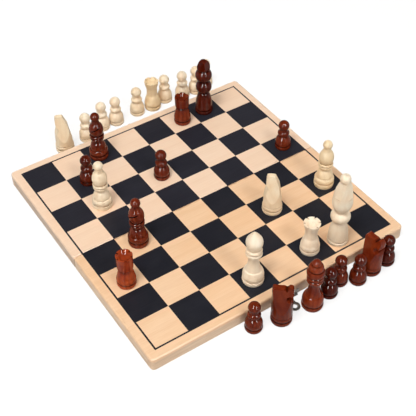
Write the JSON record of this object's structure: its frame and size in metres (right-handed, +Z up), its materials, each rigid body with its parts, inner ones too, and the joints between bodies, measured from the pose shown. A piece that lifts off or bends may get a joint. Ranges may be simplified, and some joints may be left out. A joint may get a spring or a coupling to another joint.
{
  "type": "folding chess set",
  "caption": "Portable wooden chess set: a shallow hinged box that opens into its board, with a hasp latch and turned chessmen standing on and beside it.",
  "frame": {"origin": "middle of the seam between the two halves, in the plane of the rims that the open board rests on", "axes": "+X along the seam to the right as seen from the latch side, +Y from the latch half to the catch half, +Z up out of the playing surface"},
  "size_m": [0.25, 0.3094, 0.0883],
  "materials": {
    "board_wood": "satin",
    "rail_wood": "satin",
    "black_inlay": "dyed veneer, satin",
    "dark_chessmen": "stained and lacquered, gloss",
    "light_chessmen": "waxed, half matt",
    "latch_metal": "plated, dulled",
    "hinge_metal": "plated"
  },
  "bodies": {
    "back_half": {"back_border_line": "black_inlay", "back_dark_squares": "black_inlay", "back_hinge_leaves": "hinge_metal", "back_hinge_screws": "hinge_metal", "back_left_rail": "rail_wood", "back_outer_rail": "rail_wood", "back_panel": "board_wood", "back_right_rail": "rail_wood", "back_seam_rail": "rail_wood", "hinge_pins": "hinge_metal", "catch_plate": "latch_metal", "catch_screws": "latch_metal"},
    "front_half": {"front_border_line": "black_inlay", "front_dark_squares": "black_inlay", "front_hinge_leaves": "hinge_metal", "front_hinge_screws": "hinge_metal", "front_left_rail": "rail_wood", "front_outer_rail": "rail_wood", "front_panel": "board_wood", "front_right_rail": "rail_wood", "front_seam_rail": "rail_wood", "hasp_plate": "latch_metal", "hasp_pin": "latch_metal", "hasp_screws": "latch_metal"},
    "hasp": {"hasp_tongue": "latch_metal"},
    "dark_bishop_1": {"dark_bishop_1": "dark_chessmen"},
    "dark_bishop_2": {"dark_bishop_2": "dark_chessmen"},
    "dark_king": {"dark_king": "dark_chessmen"},
    "dark_knight_1": {"dark_knight_1": "dark_chessmen"},
    "dark_knight_2": {"dark_knight_2": "dark_chessmen"},
    "dark_pawn_1": {"dark_pawn_1": "dark_chessmen"},
    "dark_pawn_2": {"dark_pawn_2": "dark_chessmen"},
    "dark_pawn_3": {"dark_pawn_3": "dark_chessmen"},
    "dark_pawn_4": {"dark_pawn_4": "dark_chessmen"},
    "dark_pawn_5": {"dark_pawn_5": "dark_chessmen"},
    "dark_pawn_6": {"dark_pawn_6": "dark_chessmen"},
    "dark_pawn_7": {"dark_pawn_7": "dark_chessmen"},
    "dark_pawn_8": {"dark_pawn_8": "dark_chessmen"},
    "dark_queen": {"dark_queen": "dark_chessmen"},
    "dark_rook_1": {"dark_rook_1": "dark_chessmen"},
    "dark_rook_2": {"dark_rook_2": "dark_chessmen"},
    "light_bishop_1": {"light_bishop_1": "light_chessmen"},
    "light_bishop_2": {"light_bishop_2": "light_chessmen"},
    "light_king": {"light_king": "light_chessmen"},
    "light_knight_1": {"light_knight_1": "light_chessmen"},
    "light_knight_2": {"light_knight_2": "light_chessmen"},
    "light_pawn_1": {"light_pawn_1": "light_chessmen"},
    "light_pawn_2": {"light_pawn_2": "light_chessmen"},
    "light_pawn_3": {"light_pawn_3": "light_chessmen"},
    "light_pawn_4": {"light_pawn_4": "light_chessmen"},
    "light_pawn_5": {"light_pawn_5": "light_chessmen"},
    "light_pawn_6": {"light_pawn_6": "light_chessmen"},
    "light_pawn_7": {"light_pawn_7": "light_chessmen"},
    "light_pawn_8": {"light_pawn_8": "light_chessmen"},
    "light_queen": {"light_queen": "light_chessmen"},
    "light_rook_1": {"light_rook_1": "light_chessmen"},
    "light_rook_2": {"light_rook_2": "light_chessmen"}
  },
  "joints": [
    {"name": "board_fold", "type": "hinge", "parent": "back_half", "child": "front_half", "pos_m": [0, 0, 0], "axis": [1, 0, 0], "range_deg": [0, 180]},
    {"name": "hasp_swing", "type": "hinge", "parent": "front_half", "child": "hasp", "pos_m": [0.0015, -0.1262, 0.0011], "axis": [1, 0, 0], "range_deg": [-80, 90]},
    {"name": "lift_dark_bishop_1", "type": "slide", "parent": "back_half", "child": "dark_bishop_1", "axis": [0, 0, 1], "range_m": [0, 0.09]},
    {"name": "lift_dark_bishop_2", "type": "slide", "parent": "back_half", "child": "dark_bishop_2", "axis": [0, 0, 1], "range_m": [0, 0.09]},
    {"name": "lift_dark_king", "type": "slide", "parent": "back_half", "child": "dark_king", "axis": [0, 0, 1], "range_m": [0, 0.09]},
    {"name": "lift_dark_knight_1", "type": "slide", "parent": "back_half", "child": "dark_knight_1", "axis": [0, 0, 1], "range_m": [0, 0.09]},
    {"name": "lift_dark_knight_2", "type": "slide", "parent": "back_half", "child": "dark_knight_2", "axis": [0, 0, 1], "range_m": [0, 0.09]},
    {"name": "lift_dark_pawn_1", "type": "slide", "parent": "back_half", "child": "dark_pawn_1", "axis": [0, 0, 1], "range_m": [0, 0.09]},
    {"name": "lift_dark_pawn_2", "type": "slide", "parent": "back_half", "child": "dark_pawn_2", "axis": [0, 0, 1], "range_m": [0, 0.09]},
    {"name": "lift_dark_pawn_3", "type": "slide", "parent": "back_half", "child": "dark_pawn_3", "axis": [0, 0, 1], "range_m": [0, 0.09]},
    {"name": "lift_dark_pawn_4", "type": "slide", "parent": "back_half", "child": "dark_pawn_4", "axis": [0, 0, 1], "range_m": [0, 0.09]},
    {"name": "lift_dark_pawn_5", "type": "slide", "parent": "back_half", "child": "dark_pawn_5", "axis": [0, 0, 1], "range_m": [0, 0.09]},
    {"name": "lift_dark_pawn_6", "type": "slide", "parent": "back_half", "child": "dark_pawn_6", "axis": [0, 0, 1], "range_m": [0, 0.09]},
    {"name": "lift_dark_pawn_7", "type": "slide", "parent": "back_half", "child": "dark_pawn_7", "axis": [0, 0, 1], "range_m": [0, 0.09]},
    {"name": "lift_dark_pawn_8", "type": "slide", "parent": "back_half", "child": "dark_pawn_8", "axis": [0, 0, 1], "range_m": [0, 0.09]},
    {"name": "lift_dark_queen", "type": "slide", "parent": "back_half", "child": "dark_queen", "axis": [0, 0, 1], "range_m": [0, 0.09]},
    {"name": "lift_dark_rook_1", "type": "slide", "parent": "back_half", "child": "dark_rook_1", "axis": [0, 0, 1], "range_m": [0, 0.09]},
    {"name": "lift_dark_rook_2", "type": "slide", "parent": "back_half", "child": "dark_rook_2", "axis": [0, 0, 1], "range_m": [0, 0.09]},
    {"name": "lift_light_bishop_1", "type": "slide", "parent": "back_half", "child": "light_bishop_1", "axis": [0, 0, 1], "range_m": [0, 0.09]},
    {"name": "lift_light_bishop_2", "type": "slide", "parent": "back_half", "child": "light_bishop_2", "axis": [0, 0, 1], "range_m": [0, 0.09]},
    {"name": "lift_light_king", "type": "slide", "parent": "back_half", "child": "light_king", "axis": [0, 0, 1], "range_m": [0, 0.09]},
    {"name": "lift_light_knight_1", "type": "slide", "parent": "back_half", "child": "light_knight_1", "axis": [0, 0, 1], "range_m": [0, 0.09]},
    {"name": "lift_light_knight_2", "type": "slide", "parent": "back_half", "child": "light_knight_2", "axis": [0, 0, 1], "range_m": [0, 0.09]},
    {"name": "lift_light_pawn_1", "type": "slide", "parent": "back_half", "child": "light_pawn_1", "axis": [0, 0, 1], "range_m": [0, 0.09]},
    {"name": "lift_light_pawn_2", "type": "slide", "parent": "back_half", "child": "light_pawn_2", "axis": [0, 0, 1], "range_m": [0, 0.09]},
    {"name": "lift_light_pawn_3", "type": "slide", "parent": "back_half", "child": "light_pawn_3", "axis": [0, 0, 1], "range_m": [0, 0.09]},
    {"name": "lift_light_pawn_4", "type": "slide", "parent": "back_half", "child": "light_pawn_4", "axis": [0, 0, 1], "range_m": [0, 0.09]},
    {"name": "lift_light_pawn_5", "type": "slide", "parent": "back_half", "child": "light_pawn_5", "axis": [0, 0, 1], "range_m": [0, 0.09]},
    {"name": "lift_light_pawn_6", "type": "slide", "parent": "back_half", "child": "light_pawn_6", "axis": [0, 0, 1], "range_m": [0, 0.09]},
    {"name": "lift_light_pawn_7", "type": "slide", "parent": "back_half", "child": "light_pawn_7", "axis": [0, 0, 1], "range_m": [0, 0.09]},
    {"name": "lift_light_pawn_8", "type": "slide", "parent": "back_half", "child": "light_pawn_8", "axis": [0, 0, 1], "range_m": [0, 0.09]},
    {"name": "lift_light_queen", "type": "slide", "parent": "back_half", "child": "light_queen", "axis": [0, 0, 1], "range_m": [0, 0.09]},
    {"name": "lift_light_rook_1", "type": "slide", "parent": "back_half", "child": "light_rook_1", "axis": [0, 0, 1], "range_m": [0, 0.09]},
    {"name": "lift_light_rook_2", "type": "slide", "parent": "back_half", "child": "light_rook_2", "axis": [0, 0, 1], "range_m": [0, 0.09]}
  ]
}
